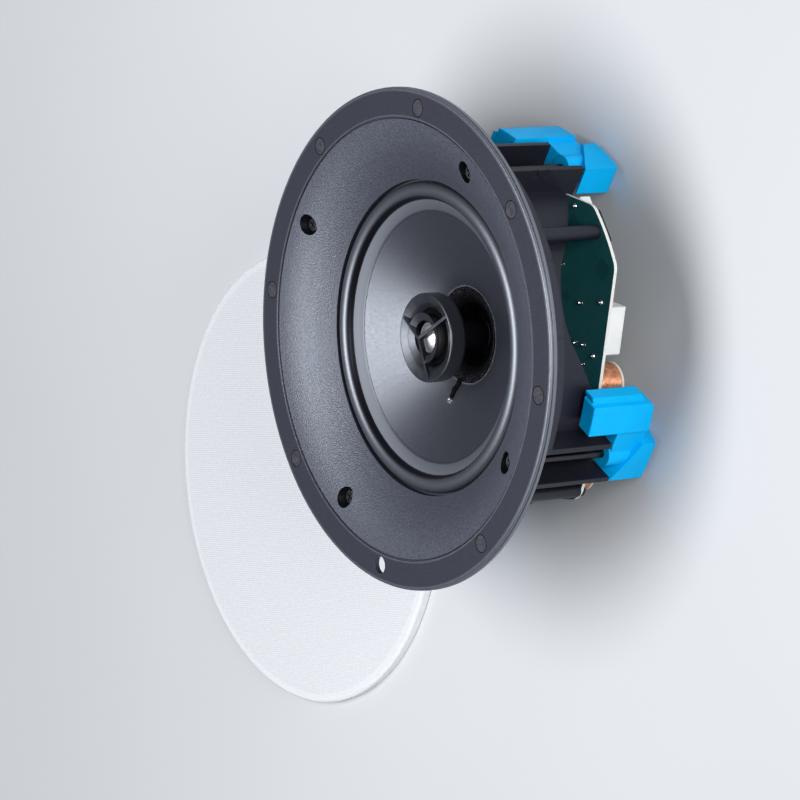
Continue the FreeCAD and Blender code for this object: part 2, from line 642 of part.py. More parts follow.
os.makedirs("parts", exist_ok=True)
for name, shape in nodes.items():
    shape.exportStep(f"parts/{name}.step")
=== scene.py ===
import json
import math
import random

import bmesh
import bpy
from mathutils import Matrix, Vector


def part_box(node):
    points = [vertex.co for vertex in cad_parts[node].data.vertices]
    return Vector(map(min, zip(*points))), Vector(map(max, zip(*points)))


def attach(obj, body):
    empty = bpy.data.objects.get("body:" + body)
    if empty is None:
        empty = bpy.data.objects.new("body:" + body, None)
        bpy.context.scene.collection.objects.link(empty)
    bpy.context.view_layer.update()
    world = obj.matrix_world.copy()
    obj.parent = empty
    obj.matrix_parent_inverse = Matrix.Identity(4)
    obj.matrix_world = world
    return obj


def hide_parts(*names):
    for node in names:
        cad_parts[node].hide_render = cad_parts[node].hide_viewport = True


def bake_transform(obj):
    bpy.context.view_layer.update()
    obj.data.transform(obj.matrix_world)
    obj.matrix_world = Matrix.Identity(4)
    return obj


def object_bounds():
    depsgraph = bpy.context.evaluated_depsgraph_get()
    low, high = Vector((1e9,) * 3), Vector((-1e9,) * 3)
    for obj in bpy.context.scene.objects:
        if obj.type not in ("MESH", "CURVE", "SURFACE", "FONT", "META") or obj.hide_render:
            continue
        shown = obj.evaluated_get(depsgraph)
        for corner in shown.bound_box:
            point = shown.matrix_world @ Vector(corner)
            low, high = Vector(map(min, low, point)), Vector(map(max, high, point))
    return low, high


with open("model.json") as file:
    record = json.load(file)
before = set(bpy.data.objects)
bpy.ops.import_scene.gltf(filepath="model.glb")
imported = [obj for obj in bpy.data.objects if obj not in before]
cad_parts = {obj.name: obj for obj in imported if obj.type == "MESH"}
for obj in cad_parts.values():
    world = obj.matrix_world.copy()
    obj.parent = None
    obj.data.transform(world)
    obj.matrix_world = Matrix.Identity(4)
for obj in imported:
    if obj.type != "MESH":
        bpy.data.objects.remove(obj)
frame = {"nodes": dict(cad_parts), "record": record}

cad_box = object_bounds()
scene = bpy.context.scene
scene.view_settings.view_transform = "Standard"

# Sizes are in millimetres and angles in degrees.
# Depths (N) count from the flange's front plane, negative to the rear.
MM = 0.001
FLANGE_FRONT = 3.5
BOARD_FRONT = -54.0
BOARD_REAR = -55.6
HUB_R = 92.7
CLAMP_ANGLES = (53.0, 143.0, 233.0, 323.0)
MAGNET_RING_R = 107.9
MAGNET_FIRST, MAGNET_STEP, MAGNET_PLACES, OPEN_PLACE = 31.2, 45.0, 8, 5
MAGNET_ANGLES = [MAGNET_FIRST + MAGNET_STEP * i for i in range(MAGNET_PLACES) if i != OPEN_PLACE]
LANDING_R, LANDING_N = 58.5, -21.0
NECK_R, NECK_N = 13.35, -43.953
CONE_SLOPE = (LANDING_N - NECK_N) / (LANDING_R - NECK_R)
FELT_EDGE_R = 22.85
EYELET_R = 32.0
LEAD_ANGLES = (-109.0, -169.0)
# Angle, distance from the axis, radius and length of each film capacitor.
CAPACITORS = ((163.0, 66.0, 6.5, 26.0), (208.0, 72.0, 5.0, 22.0))

# The camera looks at a point on the flange's front plane.
CAMERA_TARGET = (-1.456, -27.716, 0.0)
CAMERA_DISTANCE = 1667.24
CAMERA_AZIMUTH = 2.7384
CAMERA_ELEVATION = 34.5482
CAMERA_LENS = 162.95
CAMERA_SENSOR = 36.0

# Looks that materials share: the tint of black plastic's shine, the black painted as shade inside a bore or a
# recess, and metal's grain.
COOL = (0.86, 0.915, 1.0, 1.0)
SHADE_BLACK = (0.003, 0.003, 0.004)
METAL_GRAIN = 1800.0

# Colour sockets of the Mix node.
MIX_A, MIX_B, MIX_RESULT = 6, 7, 2


def metres(x, y, depth):
    """Point from millimetres, with its depth counted from the flange's front plane."""
    return Vector((x * MM, y * MM, (depth + FLANGE_FRONT) * MM))


def polar(radius, angle):
    """Two coordinates of a point on a circle."""
    a = math.radians(angle)
    return radius * math.cos(a), radius * math.sin(a)


def turned(angle):
    """Rotation about the speaker's axis."""
    return Matrix.Rotation(math.radians(angle), 4, "Z")


class Nodes:
    """Short way to build one material's node tree. Lengths in it are metres."""

    def __init__(self, name):
        self.material = bpy.data.materials.new(name)
        self.material.use_nodes = True
        self.tree = self.material.node_tree
        self.shader = self.tree.nodes["Principled BSDF"]
        coordinates = self.add("ShaderNodeTexCoord").outputs
        self.place = coordinates["Object"]
        self.normal = coordinates["Normal"]

    def add(self, kind, **inputs):
        node = self.tree.nodes.new(kind)
        for key, value in inputs.items():
            self.put(node.inputs[key.replace("_", " ")], value)
        return node

    def put(self, socket, value):
        if isinstance(value, bpy.types.NodeSocket):
            self.tree.links.new(value, socket)
        else:
            socket.default_value = value

    def noise(self, scale, detail=3.0, vector=None):
        node = self.add("ShaderNodeTexNoise", Vector=vector or self.place, Scale=scale, Detail=detail)
        return node.outputs["Fac"]

    def math(self, operation, a, b=0.0):
        node = self.add("ShaderNodeMath")
        node.operation = operation
        self.put(node.inputs[0], a)
        self.put(node.inputs[1], b)
        return node.outputs[0]

    def product(self, first, *others):
        for other in others:
            first = self.math("MULTIPLY", first, other)
        return first

    def distance(self, x, y):
        return self.math("SQRT", self.math("ADD", self.product(x, x), self.product(y, y)))

    def spread(self, value, low, high, to_low, to_high):
        """Maps a range of a value, evenly and held at its ends, to another range."""
        limits = {"From_Min": low, "From_Max": high, "To_Min": to_low, "To_Max": to_high}
        return self.add("ShaderNodeMapRange", Value=value, **limits).outputs["Result"]

    def rises(self, value, low, high):
        return self.spread(value, low, high, 0.0, 1.0)

    def falls(self, value, low, high):
        return self.spread(value, low, high, 1.0, 0.0)

    def between(self, mask, low, high):
        return self.spread(mask, 0.0, 1.0, low, high)

    def wander(self, noise, low, high):
        """A value that follows a noise between two limits."""
        return self.spread(noise, 0.3, 0.7, low, high)

    def ramp(self, value, *stops):
        node = self.add("ShaderNodeValToRGB", Fac=value)
        elements = node.color_ramp.elements
        while len(elements) < len(stops):
            elements.new(0.5)
        for element, (position, colour) in zip(elements, stops):
            element.position = position
            element.color = (*colour, 1.0)
        return node.outputs["Color"]

    def mottled(self, noise, colour, amount, width=0.15):
        """A colour that follows a noise, darker and lighter by a share."""
        dark = tuple(c * (1 - amount) for c in colour)
        light = tuple(min(1.0, c * (1 + amount)) for c in colour)
        return self.ramp(noise, (0.5 - width, dark), (0.5 + width, light))

    def mix(self, factor, a, b, blend="MIX"):
        node = self.add("ShaderNodeMix", Factor=factor)
        node.data_type = "RGBA"
        node.blend_type = blend
        for socket, value in ((node.inputs[MIX_A], a), (node.inputs[MIX_B], b)):
            self.put(socket, value if isinstance(value, bpy.types.NodeSocket) else (*value, 1.0))
        return node.outputs[MIX_RESULT]

    def bump(self, height, distance, strength, over=None):
        node = self.add("ShaderNodeBump", Height=height, Distance=distance, Strength=strength)
        if over:
            self.put(node.inputs["Normal"], over)
        return node.outputs["Normal"]

    def rounded(self, radius):
        """Normal that softens the edges of the solid."""
        node = self.add("ShaderNodeBevel", Radius=radius)
        node.samples = 4
        return node.outputs["Normal"]

    def radius(self, at=(0.0, 0.0)):
        """Distance from an upright axis, the speaker's own unless another is given."""
        parts = self.add("ShaderNodeSeparateXYZ", Vector=self.place).outputs
        x = self.math("SUBTRACT", parts["X"], at[0])
        y = self.math("SUBTRACT", parts["Y"], at[1])
        return self.distance(x, y)

    def height(self):
        """Height above the plane that seats on the ceiling."""
        return self.add("ShaderNodeSeparateXYZ", Vector=self.place).outputs["Z"]

    def facing(self):
        """1 where the surface faces the front, 0 where it stands upright, -1 where it faces the rear."""
        return self.add("ShaderNodeSeparateXYZ", Vector=self.normal).outputs["Z"]

    def done(self, colour, roughness, normal=None, **others):
        inputs = self.shader.inputs
        self.put(inputs["Base Color"], colour)
        self.put(inputs["Roughness"], roughness)
        if normal:
            self.put(inputs["Normal"], normal)
        for key, value in others.items():
            self.put(inputs[key.replace("_", " ")], value)
        return self.material


def plain(name, colour, roughness, grain=900.0, vary=0.12, depth=0.04, edge=0.3, patch=60.0, **others):
    """Finish with varied colour, uneven gloss, a grain of some depth and edges softened by a radius."""
    n = Nodes(name)
    tone = n.mottled(n.noise(patch), colour, vary, 0.2)
    gloss = n.wander(n.noise(240.0), roughness - 0.05, roughness + 0.06)
    normal = n.bump(n.noise(grain, 4.0), depth * MM, 0.6, n.rounded(edge * MM))
    return n.done(tone, gloss, normal, **others)


def metal(name, colour, roughness):
    """Bare metal with a fine grain and softened edges."""
    n = Nodes(name)
    grain = n.noise(METAL_GRAIN, 4.0)
    tone = n.mottled(grain, colour, 0.08, 0.2)
    gloss = n.wander(grain, roughness - 0.06, roughness + 0.08)
    return n.done(tone, gloss, n.bump(grain, 0.02 * MM, 0.5, n.rounded(0.2 * MM)), Metallic=1.0)


def frame_plastic():
    """Moulded satin plastic: sparked grain on the baffle, smoother and darker on the flange, and darker still
    behind the flange as painted shade.
    """
    n = Nodes("frame_plastic")
    r, z, up = n.radius(), n.height(), n.facing()
    within = n.product(n.falls(r, 101.6 * MM, 101.8 * MM), n.rises(z, -18.5 * MM, -16.5 * MM))
    front = n.product(within, n.rises(up, 0.1, 0.3))

    mottle = n.noise(900.0, 5.0)
    # Painted shade: the tones behind the flange are darker, darkest at the rear, where the flange's shadow
    # falls.
    rear = n.mottled(mottle, (0.009, 0.009, 0.015), 0.12)
    shaded_collar = n.mottled(mottle, (0.018, 0.018, 0.028), 0.12)
    flange = n.mottled(mottle, (0.033, 0.034, 0.047), 0.10)
    baffle = n.mottled(mottle, (0.046, 0.049, 0.068), 0.24)
    tone = n.mix(n.rises(z, -16.5 * MM, -14.5 * MM), rear, shaded_collar)
    tone = n.mix(n.rises(z, -0.5 * MM, 0.5 * MM), tone, flange)
    tone = n.mix(front, tone, baffle)

    # Painted shade: the driver holes' walls are painted black.
    nearest, *others = [n.radius(polar(HUB_R * MM, angle)) for angle in CLAMP_ANGLES]
    for other in others:
        nearest = n.math("MINIMUM", nearest, other)
    wall = n.falls(n.math("ABSOLUTE", up), 0.5, 0.7)
    tone = n.mix(n.product(n.falls(nearest, 5.6 * MM, 5.8 * MM), wall), tone, SHADE_BLACK)

    # The grain fades towards the woofer and off the baffle, and a raised reflectivity on the flange's two
    # edges paints highlights along them.
    coarse = n.product(n.between(front, 0.25, 1.0), n.spread(r, 73.4 * MM, 76.0 * MM, 0.4, 1.0))
    grain = n.product(n.noise(1500.0, 4.0), coarse)
    inner_edge = n.product(n.rises(r, 101.8 * MM, 102.2 * MM), n.falls(r, 103.0 * MM, 103.4 * MM))
    edge_highlight = n.math("MAXIMUM", inner_edge, n.rises(r, 113.8 * MM, 114.4 * MM))
    index = n.math("ADD", n.between(front, 1.48, 2.08), n.product(edge_highlight, 1.2))
    gloss = n.wander(n.noise(700.0), 0.4, 0.5)
    normal = n.bump(grain, 0.3 * MM, 0.9, n.rounded(0.4 * MM))
    return n.done(tone, gloss, normal, IOR=index, Specular_Tint=COOL)


def grille_steel():
    """White powder-coated steel with staggered rows of fine punched holes inside a plain border."""
    pitch, row_step = 1.33 * MM, 0.866
    low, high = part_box("grille")
    centre = ((low[0] + high[0]) / 2, (low[1] + high[1]) / 2)
    n = Nodes("grille_steel")
    parts = n.add("ShaderNodeSeparateXYZ", Vector=n.place).outputs
    row = n.math("DIVIDE", parts["Y"], pitch * row_step)
    odd = n.math("MODULO", n.math("ABSOLUTE", n.math("FLOOR", row)), 2.0)
    column = n.math("ADD", n.math("DIVIDE", parts["X"], pitch), n.product(odd, 0.5))
    across = n.math("SUBTRACT", n.math("FRACT", column), 0.5)
    along = n.product(n.math("SUBTRACT", n.math("FRACT", row), 0.5), row_step)
    hole = n.falls(n.distance(across, along), 0.24, 0.34)
    field = n.falls(n.radius(centre), 112.8 * MM, 113.1 * MM)
    punched = n.product(hole, field, n.rises(n.math("ABSOLUTE", n.facing()), 0.9, 0.99))
    coat = n.ramp(n.noise(500.0, 4.0), (0.35, (0.80, 0.81, 0.825)), (0.65, (0.86, 0.87, 0.88)))
    tone = n.mix(n.product(punched, 0.28), coat, (0.25, 0.26, 0.28))
    relief = n.math("SUBTRACT", n.product(n.noise(2600.0), 0.15), punched)
    gloss = n.wander(n.noise(900.0), 0.45, 0.6)
    return n.done(tone, gloss, n.bump(relief, 0.2 * MM, 0.25, n.rounded(0.3 * MM)))


def cone_poly():
    """Satin filled polymer, finely mottled, with faint turning marks, and painted shade that blacks out the
    neck and its shine.
    """
    n = Nodes("cone_poly")
    r = n.radius()
    # Painted shade: black inside the neck, with almost no shine.
    neck_shade = n.falls(r, 15.0 * MM, 15.3 * MM)
    tone = n.mottled(n.noise(1400.0, 4.0), (0.013, 0.0135, 0.022), 0.07)
    rings = n.add("ShaderNodeCombineXYZ", X=n.product(r, 900.0)).outputs["Vector"]
    relief = n.math("ADD", n.product(n.noise(4.0, 6.0, rings), 0.25), n.noise(2200.0))
    gloss = n.wander(n.noise(800.0), 0.38, 0.45)
    index = n.between(neck_shade, 2.2, 1.05)
    normal = n.bump(relief, 0.03 * MM, 0.5)
    return n.done(n.mix(neck_shade, tone, SHADE_BLACK), gloss, normal, IOR=index, Specular_Tint=COOL)


def rubber_black():
    """Satin rubber, with the lighter matt landing that is glued to the cone, and painted shade on the roll's
    inner flank beside it, darkening its colour and the tint of its shine.
    """
    n = Nodes("rubber_black")
    r = n.radius()
    roll = n.mottled(n.noise(500.0, 4.0), (0.012, 0.012, 0.016), 0.15)
    landing = n.mottled(n.noise(1500.0, 4.0), (0.028, 0.030, 0.040), 0.10)
    flat = n.product(n.falls(r, 63.6 * MM, 64.2 * MM), n.rises(r, 59.0 * MM, 59.2 * MM))
    # Painted shade: the roll's inner flank is darkened, in colour and in the tint of its shine.
    groove_shade = n.product(n.rises(r, 63.7 * MM, 64.2 * MM), n.falls(r, 65.0 * MM, 66.1 * MM))
    tone = n.mix(groove_shade, n.mix(flat, roll, landing), (0.005, 0.005, 0.007))
    tint = n.mix(groove_shade, COOL[:3], (0.06, 0.065, 0.08))
    gloss = n.between(flat, 0.43, 0.64)
    return n.done(tone, gloss, n.bump(n.noise(1800.0), 0.03 * MM, 0.5), IOR=2.7, Specular_Tint=tint)


def felt():
    """Black felt, with pale flecks towards the ring's outer edge."""
    n = Nodes("felt")
    wool = n.ramp(n.noise(2600.0, 6.0), (0.35, (0.002, 0.002, 0.003)), (0.62, (0.010, 0.010, 0.013)))
    flecks = n.rises(n.noise(1900.0, 5.0), 0.55, 0.70)
    outward = n.rises(n.radius(), 16.5 * MM, 20.5 * MM)
    tone = n.mix(n.product(flecks, outward), wool, (0.17, 0.17, 0.20))
    return n.done(tone, 0.95, n.bump(n.noise(3200.0, 6.0), 0.4 * MM, 0.9), Specular_IOR_Level=0.1)


def felt_edge():
    """Pale fuzz along the felt ring's outer edge."""
    n = Nodes("felt_edge")
    return n.done(n.ramp(n.noise(900.0), (0.3, (0.10, 0.10, 0.115)), (0.7, (0.32, 0.32, 0.36))), 0.9)


def pod_plastic():
    """Satin black plastic with painted sheen: its reflectivity is raised where it faces the front and lowered
    round its side.
    """
    n = Nodes("pod_plastic")
    tone = n.mottled(n.noise(60.0), (0.008, 0.008, 0.012), 0.12, 0.2)
    gloss = n.wander(n.noise(240.0), 0.31, 0.42)
    # Painted sheen: the reflectivity follows which way the surface faces.
    index = n.spread(n.facing(), 0.2, 0.6, 1.4, 2.1)
    normal = n.bump(n.noise(1500.0, 4.0), 0.02 * MM, 0.6, n.rounded(0.3 * MM))
    return n.done(tone, gloss, normal, IOR=index, Specular_Tint=COOL)


def board_green():
    """Solder resist over faint copper tracks, with the pale cut edge of the laminate."""
    n = Nodes("board_green")
    cells = n.add("ShaderNodeTexVoronoi", Vector=n.place, Scale=55.0)
    cells.distance = "MANHATTAN"
    tracks = cells.outputs["Distance"]
    resist = n.ramp(tracks, (0.42, (0.015, 0.094, 0.108)), (0.46, (0.019, 0.128, 0.138)))
    mottle = n.ramp(n.noise(120.0), (0.3, (0.80, 0.80, 0.80)), (0.7, (1.0, 1.0, 1.0)))
    laminate = n.ramp(n.noise(1500.0, 4.0), (0.3, (0.72, 0.72, 0.66)), (0.7, (0.88, 0.88, 0.84)))
    cut = n.falls(n.math("ABSOLUTE", n.facing()), 0.3, 0.6)
    tone = n.mix(cut, n.mix(1.0, resist, mottle, "MULTIPLY"), laminate)
    return n.done(tone, n.between(cut, 0.32, 0.7), n.bump(tracks, 0.04 * MM, 0.4))


def copper():
    """Enamelled copper wire."""
    n = Nodes("copper")
    tone = n.ramp(n.noise(400.0, 4.0), (0.3, (0.60, 0.24, 0.12)), (0.7, (0.88, 0.44, 0.26)))
    gloss = n.wander(n.noise(900.0), 0.25, 0.4)
    return n.done(tone, gloss, n.bump(n.noise(2500.0), 0.03 * MM, 0.5), Metallic=0.55)


def cloth():
    """Woven, impregnated suspension cloth."""
    n = Nodes("cloth")
    weave = n.add("ShaderNodeTexChecker", Vector=n.place, Scale=1400.0).outputs["Fac"]
    tone = n.mix(n.noise(300.0), (0.20, 0.12, 0.045), (0.30, 0.19, 0.075))
    return n.done(tone, 0.8, n.bump(weave, 0.1 * MM, 0.6))


def dome_metal():
    """Spun metal cap with a dark rim where it meets its surround."""
    n = Nodes("dome_metal")
    grain = n.noise(METAL_GRAIN, 4.0)
    rim = n.rises(n.radius(), 6.7 * MM, 7.0 * MM)
    tone = n.mix(rim, n.mottled(grain, (0.86, 0.86, 0.88), 0.08, 0.2), (0.004, 0.004, 0.005))
    gloss = n.math("MAXIMUM", n.wander(grain, 0.30, 0.44), n.product(rim, 0.7))
    return n.done(tone, gloss, n.bump(grain, 0.02 * MM, 0.5), Metallic=n.math("SUBTRACT", 1.0, rim))


def screw_steel():
    """Grey head on a dark shank."""
    # Grey steel head, with painted shade darkening the shank below it.
    n = Nodes("screw_steel")
    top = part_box("clamp_screw_1")[1][2]
    grain = n.noise(METAL_GRAIN, 4.0)
    # Painted shade: the shank is darker than the head.
    shank_shade = n.ramp(grain, (0.3, (0.045, 0.045, 0.05)), (0.7, (0.065, 0.065, 0.075)))
    head = n.ramp(grain, (0.3, (0.20, 0.20, 0.21)), (0.7, (0.28, 0.28, 0.30)))
    tone = n.mix(n.rises(n.height(), top - 3.0 * MM, top - 2.6 * MM), shank_shade, head)
    gloss = n.wander(grain, 0.24, 0.38)
    return n.done(tone, gloss, n.bump(grain, 0.02 * MM, 0.5, n.rounded(0.2 * MM)), Metallic=1.0)


finishes = {
    "frame_plastic": frame_plastic(),
    "grille_steel": grille_steel(),
    "clamp_plastic": plain("clamp_plastic", (0.0, 0.46, 0.93), 0.42, grain=1500.0, vary=0.05, depth=0.03,
                           edge=0.6, Specular_IOR_Level=0.12),
    "screw_steel": screw_steel(),
    "magnet_disc": plain("magnet_disc", (0.050, 0.049, 0.060), 0.45, grain=2000.0, vary=0.45, depth=0.03,
                         patch=700.0),
    "basket_metal": plain("basket_metal", (0.018, 0.018, 0.022), 0.45, grain=1200.0, vary=0.2),
    "rubber_black": rubber_black(),
    "cone_poly": cone_poly(),
    "felt": felt(),
    "felt_edge": felt_edge(),
    "tinned": metal("tinned", (0.74, 0.74, 0.76), 0.25),
    # The former's near-black is painted shade inside the cone's neck; the same finish is the real matt black
    # of the glue, leads, tweeter surround and magnet seams.
    "former": plain("former", (0.004, 0.004, 0.005), 0.8, Specular_IOR_Level=0.1),
    "copper": copper(),
    "cloth": cloth(),
    "motor_steel": metal("motor_steel", (0.16, 0.16, 0.17), 0.36),
    "ferrite": plain("ferrite", (0.045, 0.045, 0.05), 0.62, grain=700.0, vary=0.25, depth=0.12),
    "pod_plastic": pod_plastic(),
    "dome_metal": dome_metal(),
    "board_green": board_green(),
    "ceramic": plain("ceramic", (0.84, 0.84, 0.82), 0.75, grain=700.0, vary=0.06, depth=0.12, edge=0.4),
    "bobbin": plain("bobbin", (0.80, 0.75, 0.64), 0.5, vary=0.06),
    "film_yellow": plain("film_yellow", (0.70, 0.44, 0.05), 0.25, grain=300.0, vary=0.10, depth=0.05),
    "terminal_black": plain("terminal_black", (0.026, 0.025, 0.028), 0.42, grain=1200.0, vary=0.2),
    "plug_white": plain("plug_white", (0.80, 0.80, 0.77), 0.35, vary=0.05),
}
# Nodes that look duller than the rest of their slot.
MATT = {"cone_leads": "former", "tweeter_surround": "former"}
for part in frame["record"]["subparts"]:
    materials = frame["nodes"][part["node"]].data.materials
    materials.clear()
    materials.append(finishes[MATT.get(part["node"], part["material_slot"])])


def piece(name, bm, slot, body, smooth=60.0, finish=None):
    """Turns a bmesh into a piece with a finish, riding on a body unless the body is None."""
    bmesh.ops.recalc_face_normals(bm, faces=bm.faces)
    mesh = bpy.data.meshes.new(name)
    bm.to_mesh(mesh)
    bm.free()
    mesh.polygons.foreach_set("use_smooth", [True] * len(mesh.polygons))
    mesh.set_sharp_from_angle(angle=math.radians(smooth))
    mesh.materials.append(finishes[finish or slot])
    obj = bpy.data.objects.new(name, mesh)
    scene.collection.objects.link(obj)
    if body:
        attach(obj, body)
    return obj


def skin(bm, rings, closed):
    """Lays faces from ring to ring, round to the first one or with a cap at both ends."""
    for ring, following in zip(rings, rings[1:] + (rings[:1] if closed else [])):
        for j in range(len(ring)):
            k = (j + 1) % len(ring)
            bm.faces.new((ring[j], following[j], following[k], ring[k]))
    if not closed:
        bm.faces.new(rings[0])
        bm.faces.new(rings[-1])
    return bm


def lathe(bm, profile, segments, place=Matrix.Identity(4)):
    """Turns a closed profile of (radius, depth) round the speaker's axis and moves it to its place."""
    rings = []
    for i in range(segments):
        angle = 360.0 * i / segments
        rings.append([bm.verts.new(place @ metres(*polar(r, angle), n)) for r, n in profile])
    return skin(bm, rings, closed=True)


def arc(centre, radius, start, end, steps):
    points = []
    for i in range(steps + 1):
        dr, dn = polar(radius, start + (end - start) * i / steps)
        points.append((centre[0] + dr, centre[1] + dn))
    return points


def tube(bm, path, radii, sides=8):
    """Round wire along a list of points in metres, with a radius in millimetres for each of them."""
    rings = []
    for i, point in enumerate(path):
        ahead = path[min(i + 1, len(path) - 1)] - path[max(i - 1, 0)]
        turn = ahead.to_track_quat("Z", "Y").to_matrix()
        rim = [polar(radii[i] * MM, 360.0 * j / sides) for j in range(sides)]
        rings.append([bm.verts.new(point + turn @ Vector((x, y, 0.0))) for x, y in rim])
    return skin(bm, rings, closed=False)


def cone_front(radius):
    """Depth of the cone's front face."""
    return LANDING_N - (LANDING_R - radius) * CONE_SLOPE


def make_surround():
    """Half roll in two pieces: the outer half stays on the basket; the inner half, which reaches the cone's
    landing, rides on no body.
    """
    crest, roll, rubber, sink = 68.3, 4.2, 0.8, 0.35
    flat, seat, edge = -18.4, -19.0, 78.8
    landing = [(63.6, -18.55), (LANDING_R, -20.85), (58.35, -21.05), (58.6, -21.5)]
    hollow, hollow_r = (crest, flat - sink), roll - rubber
    front_steps, rear_steps, segments = 14, 12, 192

    outer = arc((crest, flat), roll, 90, 0, front_steps)
    outer += [(edge, flat), (edge, seat), (crest + hollow_r, seat)]
    outer += arc(hollow, hollow_r, 0, 90, rear_steps)
    first = piece("surround_outer", lathe(bmesh.new(), outer, segments), "rubber_black", "speaker")

    inner = arc((crest, flat), roll, 90, 180, front_steps)
    inner += landing
    inner += arc(hollow, hollow_r, 180, 90, rear_steps)
    second = piece("surround_inner", lathe(bmesh.new(), inner, segments), "rubber_black", None)
    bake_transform(second)
    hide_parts("surround")
    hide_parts("surround")


def make_spider():
    """Corrugated suspension cloth whose inner edge sits at the cone's neck; it rides on no body."""
    thickness, steps = 0.5, 6
    knots = [(13.3, -45.3), (16.0, -45.3), (19.0, -46.6), (22.0, -45.6), (25.0, -47.2),
             (28.0, -46.2), (31.0, -47.8), (34.0, -46.8), (37.0, -48.45), (43.8, -48.45)]
    front = []
    for (r, n), (next_r, next_n) in zip(knots, knots[1:]):
        for i in range(steps):
            ease = (1 - math.cos(math.pi * i / steps)) / 2
            front.append((r + (next_r - r) * i / steps, n + (next_n - n) * ease))
    front.append(knots[-1])
    rear = [(r, n - thickness) for r, n in reversed(front)]
    obj = piece("spider_cloth", lathe(bmesh.new(), front + rear, 96), "cloth", None)
    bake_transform(obj)
    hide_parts("spider")


def winding(name, node, turns, inner):
    """Layer-wound coil that stands for the plain ring of the same node."""
    low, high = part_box(node)
    outer = (high[0] - low[0]) / 2 / MM
    top, bottom = high[2] / MM - FLANGE_FRONT, low[2] / MM - FLANGE_FRONT
    wire = (top - bottom) / turns
    profile = [(inner, top), (outer - wire, top)]
    for i in range(turns):
        profile += arc((outer - wire / 2, top - wire * (i + 0.5)), wire / 2, 80, -80, 6)
    profile += [(outer - wire, bottom), (inner, bottom)]
    place = Matrix.Translation(((low[0] + high[0]) / 2, (low[1] + high[1]) / 2, 0))
    obj = piece(name, lathe(bmesh.new(), profile, 72, place), "copper", "speaker", 70)
    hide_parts(node)


def solder_joints():
    """Tapered joints with a clipped lead end, each leaning its own way, on the board's front face."""
    lean, lean_step = math.radians(14), 2.1
    profile = [(0.001, -0.05), (1.35, -0.05), (1.2, 0.2), (0.75, 0.55), (0.5, 1.0), (0.42, 1.7), (0.2, 1.9),
               (0.001, 1.95)]
    spots = [(68.2, 56.5), (56.9, 30.6), (68.7, 12.5), (83.4, 12.4), (63.4, -5.1), (69.2, -6.5),
             (75.4, -11.6), (67.7, -15.1), (74.0, -30.0), (62.0, -38.0), (44.0, -62.0), (55.0, -67.0)]
    spots += [polar(r, a) for r, a in ((68.0, 151.0), (68.0, 175.0), (73.5, 201.0), (73.5, 215.0))]
    level = Matrix.Translation((0, 0, -FLANGE_FRONT * MM))
    bm = bmesh.new()
    for i, (x, y) in enumerate(spots):
        axis = Vector((math.sin(i * lean_step), math.cos(i * lean_step), 0))
        place = Matrix.Translation(metres(x, y, BOARD_FRONT)) @ Matrix.Rotation(lean, 4, axis)
        lathe(bm, profile, 14, place @ level)
    piece("solder_joints", bm, "tinned", "speaker")


def lead_glue():
    """Black glue along each lead, from the felt ring to the eyelet."""
    start, end, lift, steps = 21.6, EYELET_R - 0.9, 0.55, 24
    thick, taper, lump, lumps, sway, sways = 1.3, 0.25, 0.18, 14.0, 0.25, 9.0
    bm = bmesh.new()
    for angle in LEAD_ANGLES:
        path, radii = [], []
        for i in range(steps + 1):
            t = i / steps
            r = start + (end - start) * t
            x, y = polar(r, angle)
            side_x, side_y = polar(sway * math.sin(sways * t), angle + 90)
            path.append(metres(x + side_x, y + side_y, cone_front(r) + lift))
            bead = thick + lump * math.sin(lumps * t) - taper * t
            pointed = min(1.0, 0.25 + 7.0 * (1.0 - t))
            radii.append(bead * pointed)
        tube(bm, path, radii, 12)
    piece("lead_glue", bm, "rubber_black", "cone", finish="former")


def felt_fibres():
    """Stray fibres and a thin fuzzy bead along the felt ring's outer edge."""
    count, half_width, base, curl = 1500, 0.12, 0.12, 0.35
    roots, lengths, drifts = (22.0, 22.9), (0.3, 1.1), (-1.6, 1.6)
    bead_r, bead_lift = 0.16, 0.2
    rng = random.Random(7)
    bm = bmesh.new()
    for _ in range(count):
        angle, root = rng.uniform(0, 360), rng.uniform(*roots)
        length, drift = rng.uniform(*lengths), rng.uniform(*drifts)
        points = []
        for t in (0.0, 0.5, 1.0):
            r = root + length * t
            lift = base + curl * math.sin(t * 2.2) * rng.uniform(0.2, 1.0)
            points.append((r, angle + drift * t, cone_front(r) + lift))
        left, right = ([bm.verts.new(metres(*polar(r, a + aside), n)) for r, a, n in points]
                       for aside in (-half_width, half_width))
        for i in range(2):
            bm.faces.new((left[i], left[i + 1], right[i + 1], right[i]))
    lathe(bm, arc((FELT_EDGE_R, cone_front(FELT_EDGE_R) + bead_lift), bead_r, 0, 324, 9), 144)
    piece("felt_fibres", bm, "felt", "cone", 180, "felt_edge")


def mould_marks():
    """Two ejector marks on the first channel's outer wall."""
    wall, aside, mark_r, line_r, steps = HUB_R + 5.2, -11.02, 2.7, 0.24, 16
    turn = turned(CLAMP_ANGLES[0])
    bm = bmesh.new()
    for depth in (-31.9, -37.6):
        path = [turn @ metres(x, aside, n) for x, n in arc((wall, depth), mark_r, -152, -28, steps)]
        tube(bm, path, [line_r] * len(path), 6)
    piece("ejector_marks", bm, "frame_plastic", "speaker")


def seam_lines():
    """Fine parting lines of the mould, two on the skirt and one on the inner wall of each quarter."""
    skirt, inner_wall, line_r = (100.72, -11.6, -19.4), (88.3, -33.0, -42.0), 0.18
    bm = bmesh.new()
    for quarter in (0, 90, 180, 270):
        for angle, (radius, near, far) in ((19.0, skirt), (-1.0, skirt), (46.3, inner_wall)):
            x, y = polar(radius, angle + quarter)
            path = [metres(x, y, n) for n in (near, (near + far) / 2, far)]
            tube(bm, path, [line_r] * len(path), 6)
    piece("seam_lines", bm, "frame_plastic", "speaker")


